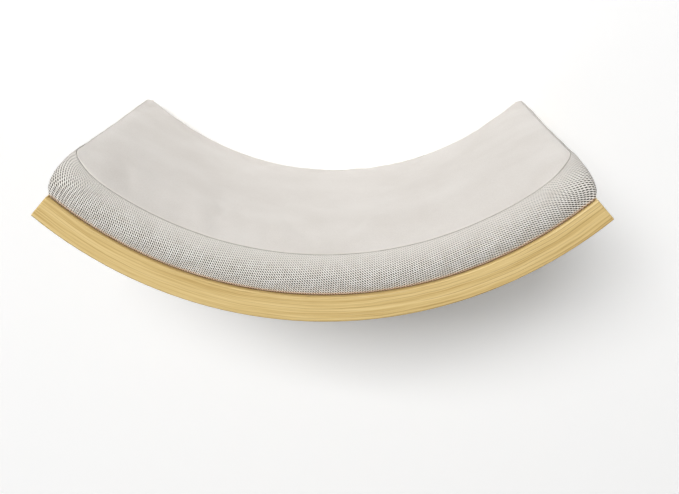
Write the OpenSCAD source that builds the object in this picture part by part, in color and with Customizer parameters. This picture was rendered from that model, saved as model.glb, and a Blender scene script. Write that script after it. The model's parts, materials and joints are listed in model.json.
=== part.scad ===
// Curved wall shelf with a cushion: a bent board on two wall brackets, and a zipped cushion that lies
// in its curve on strips of hook and loop. Millimetres, Z up. The wall is the plane Y = 0, and the front
// faces -Y. The origin is on the wall, midway between the two upper screw holes.

/* [Board] */
// Radius of the board's upper face
board_r = 366; // [320:1:420]
// Thickness of the bent board
board_t = 24; // [20:0.5:32]
// Angle from the middle of the board to each end
board_a = 41.8; // [38:0.1:46]
// Depth from the wall to the front face
board_d = 400; // [360:1:460]
// Thickness of the veneers on the two faces
veneer_t = 1.2; // [0.6:0.1:2]
// Depth of the solid lipping along the front
lip_d = 5; // [4:0.5:10]
// Thickness of the bands on the two ends
band_t = 2; // [1.8:0.1:4]
// Rounding of the board's outer edges
edge_r = 1.6; // [0.5:0.1:1.8]
// Gap left by a glue line or a row of stitches
bond_gap = 0.1; // [0.05:0.05:0.2]

/* [Brackets] */
// Angle from the middle of the board to each bracket
bracket_a = 16; // [12:0.5:20]
// Width of a bracket
bracket_w = 36; // [32:1:46]
// Thickness of the bracket's arm and leg
bracket_t = 3; // [2:0.5:4]
// Length of the arm under the board
arm_l = 300; // [260:5:340]
// Length of the leg down the wall
leg_l = 100; // [96:1:130]
// Inside radius of the bend between arm and leg
bend_r = 3; // [2:0.5:5]
// Thickness of the two side webs
web_t = 2.5; // [2:0.5:3]
// Height of the rim that the webs leave along the arm and the leg
rim_h = 9; // [7:0.5:12]
// Radius of the webs' hollow edge
web_r = 70; // [40:1:74]
// Radius of the corners at the tips of the arm and the leg
tip_r = 8; // [5:0.5:12]
// Diameter of the wall-screw holes
wall_hole_d = 6.5; // [5:0.1:8]
// Distance from the board's underside to the upper wall-screw hole
wall_hole_drop = 30; // [26:1:36]
// Distance from the lower wall-screw hole to the tip of the leg
wall_hole_end = 20; // [14:1:26]

/* [Fasteners] */
// Diameter of the screws that hold the board
bolt_d = 6; // [5:0.5:7]
// Length of a screw below its head
bolt_l = 16; // [13:0.5:17]
// Diameter of a screw's head
head_d = 11; // [10:0.5:13]
// Height of a screw's head
head_h = 3.4; // [3:0.1:5]
// Width of the hexagonal recess in a screw's head, across its corners
key_w = 4.6; // [3:0.1:5.5]
// Diameter of a washer
washer_d = 16; // [14:0.5:20]
// Thickness of a washer
washer_t = 1.4; // [1:0.1:2]
// Wall of the threaded inserts in the board
insert_wall = 1.4; // [1:0.1:2]
// Length of a threaded insert
insert_l = 13; // [11:0.5:15]
// Depth of an insert below the board's underside
insert_sink = 0.4; // [0.2:0.1:1]
// Distance from the wall to the first screw
bolt_first = 60; // [45:1:80]
// Distance from the last screw to the tip of the arm
bolt_end = 40; // [25:1:60]
// Room round a screw in the bracket and the washer
hole_gap = 0.3; // [0.2:0.05:0.5]
// Room round a screw in its insert
thread_gap = 0.1; // [0.05:0.05:0.2]
// Room round an insert in the board
bore_gap = 0.1; // [0.05:0.05:0.2]

/* [Hook and loop] */
// Width of a strip
strip_w = 25; // [16:1:38]
// Length of a strip
strip_l = 300; // [200:5:330]
// Thickness of a strip
strip_t = 1.3; // [0.8:0.1:2]
// Gap between a hook strip and its loop strip
strip_gap = 0.3; // [0.3:0.05:0.6]
// Angle from the middle to the inner pair of strips
inner_strip_a = 12; // [8:0.5:15]
// Angle from the middle to the outer pair of strips
outer_strip_a = 30; // [24:0.5:34]

/* [Cushion] */
// Distance from the board's ends to the cushion's base, along the arc
end_setback = 0.2; // [0:0.1:10]
// Distance from the board's front to the cushion's base
front_setback = 3.5; // [2:0.5:20]
// Distance from the wall to the cushion
rear_setback = 24; // [22:0.5:40]
// Radius of the cushion's corners in plan, at the base
corner_r = 4; // [3:1:20]
// Radius of the cushion's corners in plan, at the seam
top_corner_r = 34; // [20:1:44]
// Height of the seam round the top panel
seam_h = 33; // [28:0.5:44]
// Rise of the top panel above its seam
crown_h = 8; // [4:0.5:14]
// Distance over which the top panel rises
crown_run = 90; // [60:1:120]
// Swell of the front boxing
front_bulge = 4; // [2:0.5:8]
// Distance that the front boxing leans in at the seam
front_lean = 11; // [4:0.5:16]
// Swell of the boxing at the ends
end_bulge = 3; // [0.5:0.1:4]
// Distance that the end boxing leans in at the seam
end_lean = 4; // [2:0.5:10]
// Angle that the ends splay out at the seam, because the top keeps its length in the curve
end_splay = 2.6; // [0:0.1:4]
// Distance that the front pulls in between the corners
draw_in = 2; // [0:0.1:4]
// Distance that the ends pull in between the corners
end_draw_in = 0.4; // [0:0.1:2]
// Thickness of the cover's cloth
cloth_t = 1.2; // [0.8:0.1:1.6]
// Gap between the panels at a seam
seam_gap = 0.3; // [0.2:0.05:0.5]
// Gap between the foam and the cover
foam_gap = 0.3; // [0.3:0.05:0.6]

/* [Zip] */
// Distance from the end of the cushion's base to the end of the zip
zip_inset = 61.3; // [52:0.1:90]
// Opening between the two rear strips of boxing
zip_open = 9; // [8.6:0.1:12]
// Width of each tape
tape_w = 12; // [9:0.5:12.5]
// Thickness of the tapes
tape_t = 0.6; // [0.4:0.1:0.8]
// Diameter of the coils
coil_d = 2.2; // [1.8:0.1:2.4]
// Gap between the two coils
coil_gap = 1.2; // [1.1:0.1:1.4]
// Length of a coil's end stop
stop_l = 3; // [2:0.5:5]
// Length of the slider
slider_l = 10; // [9:0.5:12]
// Thickness of the slider's plates and flanges
slider_t = 0.9; // [0.7:0.1:1]
// Running gap round the slider
slider_gap = 0.3; // [0.25:0.05:0.35]
// Distance from the slider to the end stop when the zip is shut
park_gap = 1; // [0.5:0.1:5]
// Height of the opening under the slider's bail
bail_h = 2.2; // [2:0.1:2.8]
// Length of the opening under the slider's bail
bail_l = 4.2; // [3.4:0.1:4.4]
// Thickness of the bail's bar and posts
bail_t = 0.9; // [0.7:0.1:1.1]
// Width of the bail
bail_w = 1.8; // [1.4:0.1:2.2]
// Diameter of the pull's crossbar
bar_d = 1.3; // [1:0.1:1.4]
// Distance from the pull's crossbar to its tip
pull_l = 15; // [12:0.5:17]
// Thickness of the pull
pull_t = 1; // [0.8:0.1:1.2]
// Width of each of the pull's two arms
pull_arm_w = 1.1; // [0.8:0.1:1.4]

/* [Hidden] */
$fn = 96;

// Angle in degrees of a length along an arc
function arc_deg(length, radius) = length / radius * 180 / PI;

// Overshoot of a cutting shape past the face that it cuts
over = 1;

// Board: its outer radius, the height of the arc's axis, and the space that the core takes
board_ro = board_r + board_t;
arc_z = (board_ro + wall_hole_drop) * cos(bracket_a);
core_d = board_d - lip_d - bond_gap;
band_deg = arc_deg(band_t, board_r);
core_a = board_a - band_deg - arc_deg(bond_gap, board_r);

// Brackets and fasteners: places along the arm and the leg, and the bores in the board
bolts_per_arm = 3;
bolt_pitch = (arm_l - bolt_first - bolt_end) / (bolts_per_arm - 1);
insert_d = bolt_d + 2 * (thread_gap + insert_wall);
bore_l = insert_sink + insert_l + over;
bend_ro = bend_r + bracket_t;
wall_hole_drops = [wall_hole_drop, leg_l - wall_hole_end];
head_edge_r = head_h / 3;

// Hook and loop: radii of the two layers
hook_r = board_r - bond_gap - strip_t;
loop_r = hook_r - strip_gap - strip_t;

// Cushion: its base on the arc, as half its length and its two edges in depth
base_r = loop_r - bond_gap;
base_half = board_a * PI / 180 * base_r - end_setback;
base_front = board_d - front_setback;
base_rear = rear_setback;
base_mid = (base_front + base_rear) / 2;
boxing_h = cloth_t + seam_gap;

// Zip: its half length and angle, its height on the boxing, and its layers in depth
zip_half = base_half - zip_inset;
zip_a = arc_deg(zip_half - seam_gap, base_r);
zip_h = (boxing_h + seam_h) / 2;
zip_r = base_r - zip_h;
tape_d = base_rear + cloth_t + bond_gap;
coil_a = zip_a - arc_deg(stop_l + 2 * seam_gap, zip_r);
coil_off = (coil_gap + coil_d) / 2;
coil_depth = tape_d - bond_gap - coil_d / 2;
park_a = coil_a - arc_deg(slider_l / 2 + park_gap, zip_r);

// Slider: its plates in depth, its half widths, and the pull's crossbar under the bail
outer_plate_d = coil_depth - coil_d / 2 - slider_gap - slider_t;
inner_plate_d = tape_d + tape_t + slider_gap;
flange_in = coil_off + coil_d / 2 + slider_gap;
slider_half = flange_in + slider_t;
mouth_half = slider_half - slider_t / 2;
bar_d_at = outer_plate_d - bail_h / 2;
foam_rear = inner_plate_d + slider_t + slider_gap;
pull_half = bail_w / 2 + slider_gap + pull_arm_w;
pull_eye = norm([bail_l / 2 + bail_t, bail_h / 2 + bail_t]) + slider_gap;

// Places its children on the arc's axis: their X runs along the wall, Y up and Z out from the wall
module on_arc() {
    translate([0, 0, arc_z])
        rotate([90, 0, 0])
            children();
}

// Turns a profile, drawn as radius by depth, round the arc's axis between two angles from straight down
module arc_sweep(from, to) {
    on_arc()
        rotate_extrude(angle = to - from, start = 270 + from)
            children();
}

// A bent plate between two radii, two depths and two angles
module arc_plate(r0, r1, d0, d1, from, to) {
    arc_sweep(from, to)
        translate([r0, d0])
            square([r1 - r0, d1 - d0]);
}

// Stands its children on the arc at an angle and a radius: X along the arc, Y to the wall, Z to the axis
module at_arc(angle, radius) {
    translate([0, 0, arc_z])
        rotate([0, -angle, 0])
            translate([0, 0, -radius])
                children();
}

// Puts its children at each screw, on the board's underside
module at_bolts() {
    for (side = [-1, 1], i = [0 : bolts_per_arm - 1])
        at_arc(side * bracket_a, board_ro)
            translate([0, -bolt_first - i * bolt_pitch, 0])
                children();
}

// Blind bores for the threaded inserts
module insert_bores() {
    at_bolts()
        translate([0, 0, -over])
            cylinder(d = insert_d + 2 * bore_gap, h = bore_l + over);
}

// What rounding takes off the edge of an end, seen along the depth, where the face has the given radius
// and the rounding's centre lies on another
module end_edge_cut(face_r, centre_r) {
    centre = [-edge_r, -sqrt(centre_r * centre_r - edge_r * edge_r)];
    past_r = face_r + sign(face_r - centre_r) * over;
    past = centre * past_r / centre_r;
    on_arc()
        rotate(board_a)
            translate([0, 0, -over])
                linear_extrude(board_d + 2 * over)
                    difference() {
                        polygon([centre, past, [over, past.y], [over, centre.y]]);
                        translate(centre)
                            circle(edge_r);
                    }
}

// What rounding takes off the upright edge between the front and an end
module front_edge_cut() {
    at_arc(board_a, board_ro + over)
        linear_extrude(board_t + 2 * over)
            translate([-edge_r, -board_d + edge_r])
                difference() {
                    translate([0, -edge_r - over])
                        square(edge_r + over);
                    circle(edge_r);
                }
}

// All the rounding of the board's right end
module end_rounding() {
    end_edge_cut(board_r, board_r + edge_r);
    end_edge_cut(board_ro, board_ro - edge_r);
    front_edge_cut();
}

// Bent core of the board, bored from below for the inserts
module board_core() {
    color("burlywood")
        difference() {
            arc_plate(board_r + veneer_t + bond_gap, board_ro - veneer_t - bond_gap, 0, core_d, -core_a, core_a);
            insert_bores();
        }
}

// Veneer on the upper face
module top_veneer() {
    color("wheat")
        arc_plate(board_r, board_r + veneer_t, 0, core_d, -core_a, core_a);
}

// Veneer on the lower face
module underside_veneer() {
    color("wheat")
        difference() {
            arc_plate(board_ro - veneer_t, board_ro, 0, core_d, -core_a, core_a);
            insert_bores();
        }
}

// Section of the lipping, with its two front edges rounded
module lipping_profile() {
    translate([board_r, board_d - lip_d])
        square([board_t, lip_d - edge_r]);
    translate([board_r + edge_r, board_d - lip_d])
        square([board_t - 2 * edge_r, lip_d]);
    for (r = [board_r + edge_r, board_ro - edge_r])
        translate([r, board_d - edge_r])
            circle(edge_r);
}

// Solid lipping along the front, over the full thickness of the board
module front_lipping() {
    color("moccasin")
        difference() {
            arc_sweep(-board_a, board_a)
                lipping_profile();
            end_rounding();
            mirror([1, 0, 0])
                end_rounding();
        }
}

// Band on the board's right end
module end_band() {
    color("moccasin")
        difference() {
            arc_plate(board_r, board_ro, 0, core_d, board_a - band_deg, board_a);
            end_rounding();
        }
}

module end_band_right() {
    end_band();
}

module end_band_left() {
    mirror([1, 0, 0])
        end_band();
}

// Four strips across the depth of the shelf, at two angles on each side
module strips(radius) {
    half = arc_deg(strip_w / 2, radius);
    for (side = [-1, 1], a = [inner_strip_a, outer_strip_a])
        arc_plate(radius, radius + strip_t, base_mid - strip_l / 2, base_mid + strip_l / 2,
            side * a - half, side * a + half);
}

// Hook strips, glued to the board
module hook_strips() {
    color("dimgray")
        strips(hook_r);
}

// Loop strips, sewn under the cushion
module loop_strips() {
    color("gainsboro")
        strips(loop_r);
}

// Flat outline of a bracket's arm or leg, from the bend to its rounded tip
module strap(length) {
    translate([-bracket_w / 2, bend_ro])
        square([bracket_w, length - bend_ro - tip_r]);
    translate([-bracket_w / 2 + tip_r, bend_ro])
        square([bracket_w - 2 * tip_r, length - bend_ro]);
    for (side = [-1, 1])
        translate([side * (bracket_w / 2 - tip_r), length - tip_r])
            circle(tip_r);
}

// Gives a thickness, along the arc, to a profile drawn as depth by drop below the board
module side_on(thickness) {
    rotate([-90, 0, -90])
        linear_extrude(thickness, center = true)
            children();
}

// Rim of a web along the arm or the leg, with a rounded end
module rim(length) {
    square([length - rim_h, rim_h]);
    intersection() {
        translate([length - rim_h, 0])
            circle(rim_h);
        square([length, rim_h]);
    }
}

// Outline of a side web: two rims joined by a hollow corner
module web_profile() {
    corner = rim_h + web_r;
    difference() {
        union() {
            rim(arm_l - tip_r);
            mirror([1, -1])
                rim(leg_l - tip_r);
            square(corner);
        }
        translate([corner, corner])
            circle(web_r);
        difference() {
            translate([-over, -over])
                square(bend_ro + over);
            translate([bend_ro, bend_ro])
                circle(bend_ro);
        }
    }
}

// Pressed wall bracket: an arm under the board, a leg down the wall, the bend between and two side webs
module bracket(side) {
    color("whitesmoke")
        at_arc(side * bracket_a, board_ro) {
            rotate([180, 0, 0])
                linear_extrude(bracket_t)
                    difference() {
                        strap(arm_l);
                        for (i = [0 : bolts_per_arm - 1])
                            translate([0, bolt_first + i * bolt_pitch])
                                circle(d = bolt_d + 2 * hole_gap);
                    }
            translate([0, -bracket_t, 0])
                rotate([-90, 0, 0])
                    linear_extrude(bracket_t)
                        difference() {
                            strap(leg_l);
                            for (drop = wall_hole_drops)
                                translate([0, drop])
                                    circle(d = wall_hole_d);
                        }
            side_on(bracket_w)
                intersection() {
                    square(bend_ro);
                    translate([bend_ro, bend_ro])
                        difference() {
                            circle(bend_ro);
                            circle(bend_r);
                        }
                }
            for (edge = [-1, 1])
                translate([edge * (bracket_w - web_t) / 2, 0, 0])
                    side_on(web_t)
                        web_profile();
        }
}

module bracket_left() {
    bracket(-1);
}

module bracket_right() {
    bracket(1);
}

// Threaded inserts in the board, as sleeves
module bracket_inserts() {
    color("goldenrod")
        at_bolts()
            translate([0, 0, insert_sink])
                difference() {
                    cylinder(d = insert_d, h = insert_l);
                    translate([0, 0, -over])
                        cylinder(d = bolt_d + 2 * thread_gap, h = insert_l + 2 * over);
                }
}

// Half section of a screw's head, standing on its flat face
module head_profile() {
    square([head_d / 2 - head_edge_r, head_h]);
    square([head_d / 2, head_h - head_edge_r]);
    translate([head_d / 2 - head_edge_r, head_h - head_edge_r])
        circle(head_edge_r);
}

// Screws that hold the board to the brackets, from below
module bracket_bolts() {
    color("silver")
        at_bolts()
            translate([0, 0, -bracket_t - washer_t]) {
                cylinder(d = bolt_d, h = bolt_l);
                rotate([180, 0, 0])
                    difference() {
                        rotate_extrude()
                            head_profile();
                        translate([0, 0, head_h / 2])
                            cylinder(d = key_w, h = head_h, $fn = 6);
                    }
            }
}

// Washers under the screws' heads
module bracket_washers() {
    color("silver")
        at_bolts()
            translate([0, 0, -bracket_t - washer_t])
                difference() {
                    cylinder(d = washer_d, h = washer_t);
                    translate([0, 0, -over])
                        cylinder(d = bolt_d + 2 * hole_gap, h = washer_t + 2 * over);
                }
}

// Steps along a quarter of a ring of points round the cushion: along the zip, past it, round a corner
// and along half of an end
zip_steps = 8;
past_zip_steps = 2;
corner_steps = 4;
end_steps = 3;
quarter_n = zip_steps + past_zip_steps + corner_steps + end_steps;
row_n = 2 * quarter_n + 1;
ring_n = 2 * row_n - 2;

// Quarter of a ring on the flat cushion, as [along, depth], from beside the middle to the middle of an end.
// edge is the depth of the front or the rear, pull is how far that edge is drawn in, and zip_s is where the
// steps along the zip end
function quarter(half, edge, mid, corner, pull, zip_s) =
    let (out = sign(edge - mid), side = half - corner, straight = abs(edge - mid) - corner)
    [
        for (i = [1 : zip_steps])
            let (s = zip_s * i / zip_steps)
            [s, edge - out * pull * (1 - pow(s / side, 2))],
        for (i = [1 : past_zip_steps])
            let (s = zip_s + (side - zip_s) * i / past_zip_steps)
            [s, edge - out * pull * (1 - pow(s / side, 2))],
        for (i = [1 : corner_steps])
            let (a = 90 * i / corner_steps)
            [side + corner * sin(a), edge - out * corner * (1 - cos(a))],
        for (i = [1 : end_steps])
            let (t = 1 - i / end_steps)
            [half - end_draw_in * (1 - t * t), mid + out * straight * t]
    ];

// Half of a ring from the left end to the right end, along the front or the rear edge
function edge_row(half, edge, mid, corner, pull, zip_s) =
    let (right = quarter(half, edge, mid, corner, pull, zip_s))
    [
        for (i = [quarter_n - 1 : -1 : 0])
            [-right[i].x, right[i].y],
        [0, edge - sign(edge - mid) * pull],
        each right
    ];

// Bends a point of the flat cushion into the curve, at a height over the base
function bent(p, h) =
    let (
        past = max(0, (abs(p.x) - zip_half) / (base_half - zip_half)),
        a = arc_deg(p.x, base_r) + sign(p.x) * end_splay * h / seam_h * past * past,
        r = base_r - h
    )
    [r * sin(a), -p.y, arc_z - r * cos(a)];

// Ring of points round the cushion: along the front from left to right, and back along the rear
function ring(half, rear, front, h, corner, zip_s) =
    let (
        front_row = edge_row(half, front, base_mid, corner, draw_in, zip_s),
        rear_row = edge_row(half, rear, base_mid, corner, 0, zip_s)
    )
    [
        for (p = front_row)
            bent(p, h),
        for (i = [row_n - 2 : -1 : 1])
            bent(rear_row[i], h)
    ];

// How far the boxing stands out past the base, at a share t of its height
function swell(t, bulge, lean) = bulge * sin(180 * t) - lean * pow(t, 3);

// Radius of the corners at a share t of the boxing's height
function corner_at(t) = corner_r + (top_corner_r - corner_r) * t * t;

// Ring on the boxing at a share t of its height, set in by a skin, with its rear at a given depth
function boxing_ring(t, skin, rear, h) =
    ring(base_half + swell(t, end_bulge, end_lean) - skin, rear,
        base_front + swell(t, front_bulge, front_lean) - skin, h, corner_at(t), zip_half);

// Height of the top panel at a distance in from the seam
function crown(inset) = seam_h + seam_gap + crown_h * (1 - pow(1 - min(inset / crown_run, 1), 2.5));

// Ring on the top panel at a distance in from the seam, with its rear at a given depth at the seam
function crown_ring(inset, rear, h) =
    let (
        half = base_half + swell(1, end_bulge, end_lean),
        straight = (half - inset - top_corner_r) / (half - top_corner_r)
    )
    ring(half - inset, rear + inset, base_front + swell(1, front_bulge, front_lean) - inset, h,
        top_corner_r, zip_half * straight);

// Shares of the boxing's height, and distances in from the seam, at which the cover has a ring
boxing_t = [for (i = [0 : 6]) i / 6];
crown_in = [for (i = [0 : 5]) crown_run * pow(i / 5, 2)];

// Two triangles between four points, and a list of triangles turned over
function quad(a, b, c, d) = [[b, c, a], [c, d, a]];
function turned(faces) = [for (f = faces) [f[0], f[2], f[1]]];

// Faces between neighbouring rows of n points, from a first point, open or closed round the ring
function row_faces(first, rows, n, closed) = [
    for (k = [0 : rows - 2], i = [0 : n - (closed ? 1 : 2)])
        let (a = first + k * n + i, b = first + k * n + (i + 1) % n)
        each quad(a, a + n, b + n, b)
];

// Columns at each end of a ring that a fan closes, from the middle of the end to halfway round a corner
fan_n = end_steps + corner_steps / 2;

// Faces over one end, whose sides draw in, from points along it that start and stop beside the corners
function end_fan(p) = [
    for (i = [1 : fan_n - 1])
        [p[0], p[i], p[i + 1]],
    [p[0], p[fan_n], p[2 * fan_n]],
    for (i = [fan_n : 2 * fan_n - 2])
        [p[i], p[i + 1], p[2 * fan_n]]
];

// Faces across a ring from its front edge to its rear, seen from above
function lid_faces(first) = concat(
    [
        for (j = [fan_n : row_n - 2 - fan_n])
            each quad(first + j, first + ring_n - j, first + ring_n - j - 1, first + j + 1)
    ],
    [
        for (mid = [0, row_n - 1])
            each end_fan([for (i = [fan_n : -1 : -fan_n]) first + (mid + i + ring_n) % ring_n])
    ]
);

// Closed solid from rings that rise from a base to a lid
module pillow(rings) {
    n = len(rings);
    polyhedron(
        points = [for (r = rings) each r],
        faces = concat(
            turned(lid_faces(0)),
            row_faces(0, n, ring_n, true),
            lid_faces((n - 1) * ring_n)
        )
    );
}

// Sheet of cloth with an outer and an inner side, closed round the ring and across its top
module domed_sheet(outer, inner) {
    n = len(outer);
    inside = n * ring_n;
    polyhedron(
        points = [for (r = concat(outer, inner)) each r],
        faces = concat(
            row_faces(0, n, ring_n, true),
            lid_faces((n - 1) * ring_n),
            turned(row_faces(inside, n, ring_n, true)),
            turned(lid_faces(inside + (n - 1) * ring_n)),
            [
                for (i = [0 : ring_n - 1])
                    let (j = (i + 1) % ring_n)
                    each quad(i, j, inside + j, inside + i)
            ]
        )
    );
}

// Strip of cloth with an outer and an inner side, and four edges
module strip_sheet(outer, inner) {
    rows = len(outer);
    n = len(outer[0]);
    inside = rows * n;
    top = (rows - 1) * n;
    polyhedron(
        points = [for (r = concat(outer, inner)) each r],
        faces = concat(
            row_faces(0, rows, n, false),
            turned(row_faces(inside, rows, n, false)),
            [
                for (i = [0 : n - 2])
                    each concat(
                        quad(i, i + 1, inside + i + 1, inside + i),
                        quad(top + i, inside + top + i, inside + top + i + 1, top + i + 1)
                    )
            ],
            [
                for (k = [0 : rows - 2])
                    let (a = k * n, b = a + n - 1)
                    each concat(
                        quad(a + n, a, inside + a, inside + a + n),
                        quad(b, b + n, inside + b + n, inside + b)
                    )
            ]
        )
    );
}

// The part of a ring that goes round the ends and the front, from one end of the zip to the other
past_zip_n = past_zip_steps + corner_steps + end_steps;
function round_front(points) = [for (i = [ring_n - past_zip_n : ring_n + row_n - 1 + past_zip_n]) points[i % ring_n]];

// Height over the base at a share t of the boxing
function boxing_height(t) = boxing_h + (seam_h - boxing_h) * t;

// Foam that fills the cover, crowned on top and swollen at the sides
module foam_core() {
    skin = cloth_t + foam_gap;
    color("lemonchiffon")
        pillow(concat(
            [for (t = boxing_t) boxing_ring(t, skin, foam_rear, skin + (seam_h - 2 * skin) * t)],
            [for (i = [1 : len(crown_in) - 1]) crown_ring(crown_in[i] + skin, foam_rear, crown(crown_in[i]) - skin)]
        ));
}

// Smooth top panel of the cover
module top_panel() {
    color("linen")
        domed_sheet(
            [for (inset = crown_in) crown_ring(inset, base_rear, crown(inset))],
            [
                for (i = [0 : len(crown_in) - 1])
                    let (inset = crown_in[i])
                    i == 0 ? crown_ring(cloth_t, base_rear, crown(0))
                        : crown_ring(max(inset, cloth_t), base_rear, crown(inset) - cloth_t)
            ]
        );
}

// Woven boxing round the front and the two ends, up to the ends of the zip
module front_boxing() {
    color("antiquewhite")
        strip_sheet(
            [for (t = boxing_t) round_front(boxing_ring(t, 0, base_rear, boxing_height(t)))],
            [for (t = boxing_t) round_front(boxing_ring(t, cloth_t, base_rear + cloth_t, boxing_height(t)))]
        );
}

// Base of the cover
module base_panel() {
    color("antiquewhite")
        pillow([for (h = [0, cloth_t]) boxing_ring(0, 0, base_rear, h)]);
}

// Rear strip of boxing between two heights over the base
module rear_boxing(low, high) {
    color("antiquewhite")
        arc_plate(base_r - high, base_r - low, base_rear, base_rear + cloth_t, -zip_a, zip_a);
}

module rear_boxing_lower() {
    rear_boxing(boxing_h, zip_h - zip_open / 2);
}

module rear_boxing_upper() {
    rear_boxing(zip_h + zip_open / 2, seam_h);
}

// Zip tape above or below the coils, sewn inside the boxing
module zip_tape(side) {
    near = zip_r - side * coil_gap / 2;
    far = near - side * tape_w;
    color("ivory")
        arc_plate(min(near, far), max(near, far), tape_d, tape_d + tape_t, -zip_a, zip_a);
}

module zip_tape_upper() {
    zip_tape(1);
}

module zip_tape_lower() {
    zip_tape(-1);
}

// Coil along the edge of a tape, as a round bead
module zip_coil(side) {
    color("white")
        arc_sweep(-coil_a, coil_a)
            translate([zip_r - side * coil_off, coil_depth])
                circle(d = coil_d);
}

module zip_coil_upper() {
    zip_coil(1);
}

module zip_coil_lower() {
    zip_coil(-1);
}

// Metal stops across both coils at the two ends of the zip
module zip_end_stops() {
    start = coil_a + arc_deg(seam_gap, zip_r);
    half = coil_off + coil_d / 2;
    color("silver")
        for (from = [start, -start - arc_deg(stop_l, zip_r)])
            arc_plate(zip_r - half, zip_r + half, coil_depth - coil_d / 2, tape_d - bond_gap,
                from, from + arc_deg(stop_l, zip_r));
}

// Outline of the slider's plates: wide at the mouth, where the coils part, and narrow at the tail
module slider_outline() {
    round_r = slider_half / 2;
    mouth_x = slider_l / 2 - round_r;
    translate([0, -slider_half])
        square([mouth_x, 2 * slider_half]);
    translate([0, round_r - slider_half])
        square([slider_l / 2, 2 * (slider_half - round_r)]);
    for (side = [-1, 1])
        translate([mouth_x, side * (slider_half - round_r)])
            circle(round_r);
    polygon([[0, slider_half], [-slider_l / 2, mouth_half], [-slider_l / 2, -mouth_half], [0, -slider_half]]);
}

// Puts its children on the slider at rest: X along the zip away from the middle, Y up the boxing, Z to the wall
module on_slider(depth) {
    at_arc(park_a, zip_r)
        translate([0, -depth, 0])
            rotate([90, 0, 0])
                mirror([0, 0, 1])
                    children();
}

// Side of the bail, with its opening
module bail_profile() {
    difference() {
        translate([-bail_l / 2 - bail_t, 0])
            square([bail_l + 2 * bail_t, bail_h + bail_t]);
        translate([-bail_l / 2, 0])
            square([bail_l, bail_h]);
    }
}

// Zip slider: outer plate with two flanges and a bail, a blade between the coils, and an inner plate
module zip_slider() {
    blade_w = coil_gap - 2 * slider_gap;
    flange_h = tape_d - slider_gap - outer_plate_d - slider_t;
    color("silver") {
        on_slider(outer_plate_d + slider_t)
            linear_extrude(slider_t)
                slider_outline();
        on_slider(outer_plate_d + slider_t + flange_h)
            linear_extrude(flange_h)
                intersection() {
                    slider_outline();
                    for (side = [-1, 1])
                        translate([-slider_l / 2, side * (flange_in + slider_t / 2) - slider_t / 2])
                            square([slider_l, slider_t]);
                }
        on_slider(inner_plate_d + slider_t)
            linear_extrude(slider_t)
                slider_outline();
        on_slider(inner_plate_d)
            linear_extrude(inner_plate_d - outer_plate_d - slider_t)
                translate([0, -blade_w / 2])
                    square([slider_l / 2 - slider_t, blade_w]);
        on_slider(outer_plate_d)
            rotate([90, 0, 0])
                linear_extrude(bail_w, center = true)
                    bail_profile();
    }
}

// Flat outline of the pull, from its crossbar at the origin to its rounded tip
module pull_outline() {
    tip = pull_l - pull_half;
    difference() {
        union() {
            translate([-tip, -pull_half])
                square([tip, 2 * pull_half]);
            translate([-tip, 0])
                circle(pull_half);
        }
        translate([-pull_eye, pull_arm_w - pull_half])
            square([pull_eye + over, 2 * (pull_half - pull_arm_w)]);
    }
}

// Pull of the zip, at rest along the zip towards the middle
module zip_pull() {
    color("silver")
        on_slider(bar_d_at) {
            translate([0, 0, -pull_t / 2])
                linear_extrude(pull_t)
                    pull_outline();
            rotate([90, 0, 0])
                cylinder(d = bar_d, h = 2 * pull_half, center = true);
        }
}

board_core();
top_veneer();
underside_veneer();
front_lipping();
end_band_left();
end_band_right();
hook_strips();
bracket_left();
bracket_right();
bracket_inserts();
bracket_bolts();
bracket_washers();
foam_core();
top_panel();
front_boxing();
rear_boxing_upper();
rear_boxing_lower();
base_panel();
loop_strips();
zip_tape_upper();
zip_tape_lower();
zip_coil_upper();
zip_coil_lower();
zip_end_stops();
zip_slider();
zip_pull();
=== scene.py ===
import json
from math import asin, cos, pi, radians, sin, tau

import bmesh
import bpy
import numpy as np
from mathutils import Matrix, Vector


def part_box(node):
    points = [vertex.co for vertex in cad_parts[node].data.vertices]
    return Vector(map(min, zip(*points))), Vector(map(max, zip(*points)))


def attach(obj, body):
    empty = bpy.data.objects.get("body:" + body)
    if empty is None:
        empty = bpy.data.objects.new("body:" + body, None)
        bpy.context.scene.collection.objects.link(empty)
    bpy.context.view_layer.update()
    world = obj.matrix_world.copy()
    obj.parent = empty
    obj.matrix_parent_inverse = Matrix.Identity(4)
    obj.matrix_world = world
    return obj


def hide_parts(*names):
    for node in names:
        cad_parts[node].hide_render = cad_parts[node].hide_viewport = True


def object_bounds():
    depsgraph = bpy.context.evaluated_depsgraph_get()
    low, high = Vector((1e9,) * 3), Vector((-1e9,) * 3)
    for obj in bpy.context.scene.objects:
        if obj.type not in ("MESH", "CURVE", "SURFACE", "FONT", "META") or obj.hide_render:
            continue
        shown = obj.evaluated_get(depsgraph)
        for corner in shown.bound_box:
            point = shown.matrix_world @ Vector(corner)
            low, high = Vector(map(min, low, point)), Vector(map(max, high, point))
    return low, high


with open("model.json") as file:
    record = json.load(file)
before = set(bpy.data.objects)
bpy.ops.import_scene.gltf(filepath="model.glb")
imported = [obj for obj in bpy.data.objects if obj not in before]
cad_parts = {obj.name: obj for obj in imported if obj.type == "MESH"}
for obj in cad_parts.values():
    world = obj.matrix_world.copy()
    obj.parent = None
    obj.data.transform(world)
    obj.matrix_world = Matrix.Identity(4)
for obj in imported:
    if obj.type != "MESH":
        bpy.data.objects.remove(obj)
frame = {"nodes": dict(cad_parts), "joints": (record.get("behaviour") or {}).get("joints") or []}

cadLow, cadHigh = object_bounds()
nodes = frame["nodes"]
joints = {joint["name"]: joint for joint in frame["joints"]}
arcZ = joints["zip_slide"]["pos_m"][2]  # height of the axis that the board and the cushion bend round
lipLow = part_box("front_lipping")[0]
boardOuterR = arcZ - lipLow.z
print("frame loaded:", len(nodes), "nodes")


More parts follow.
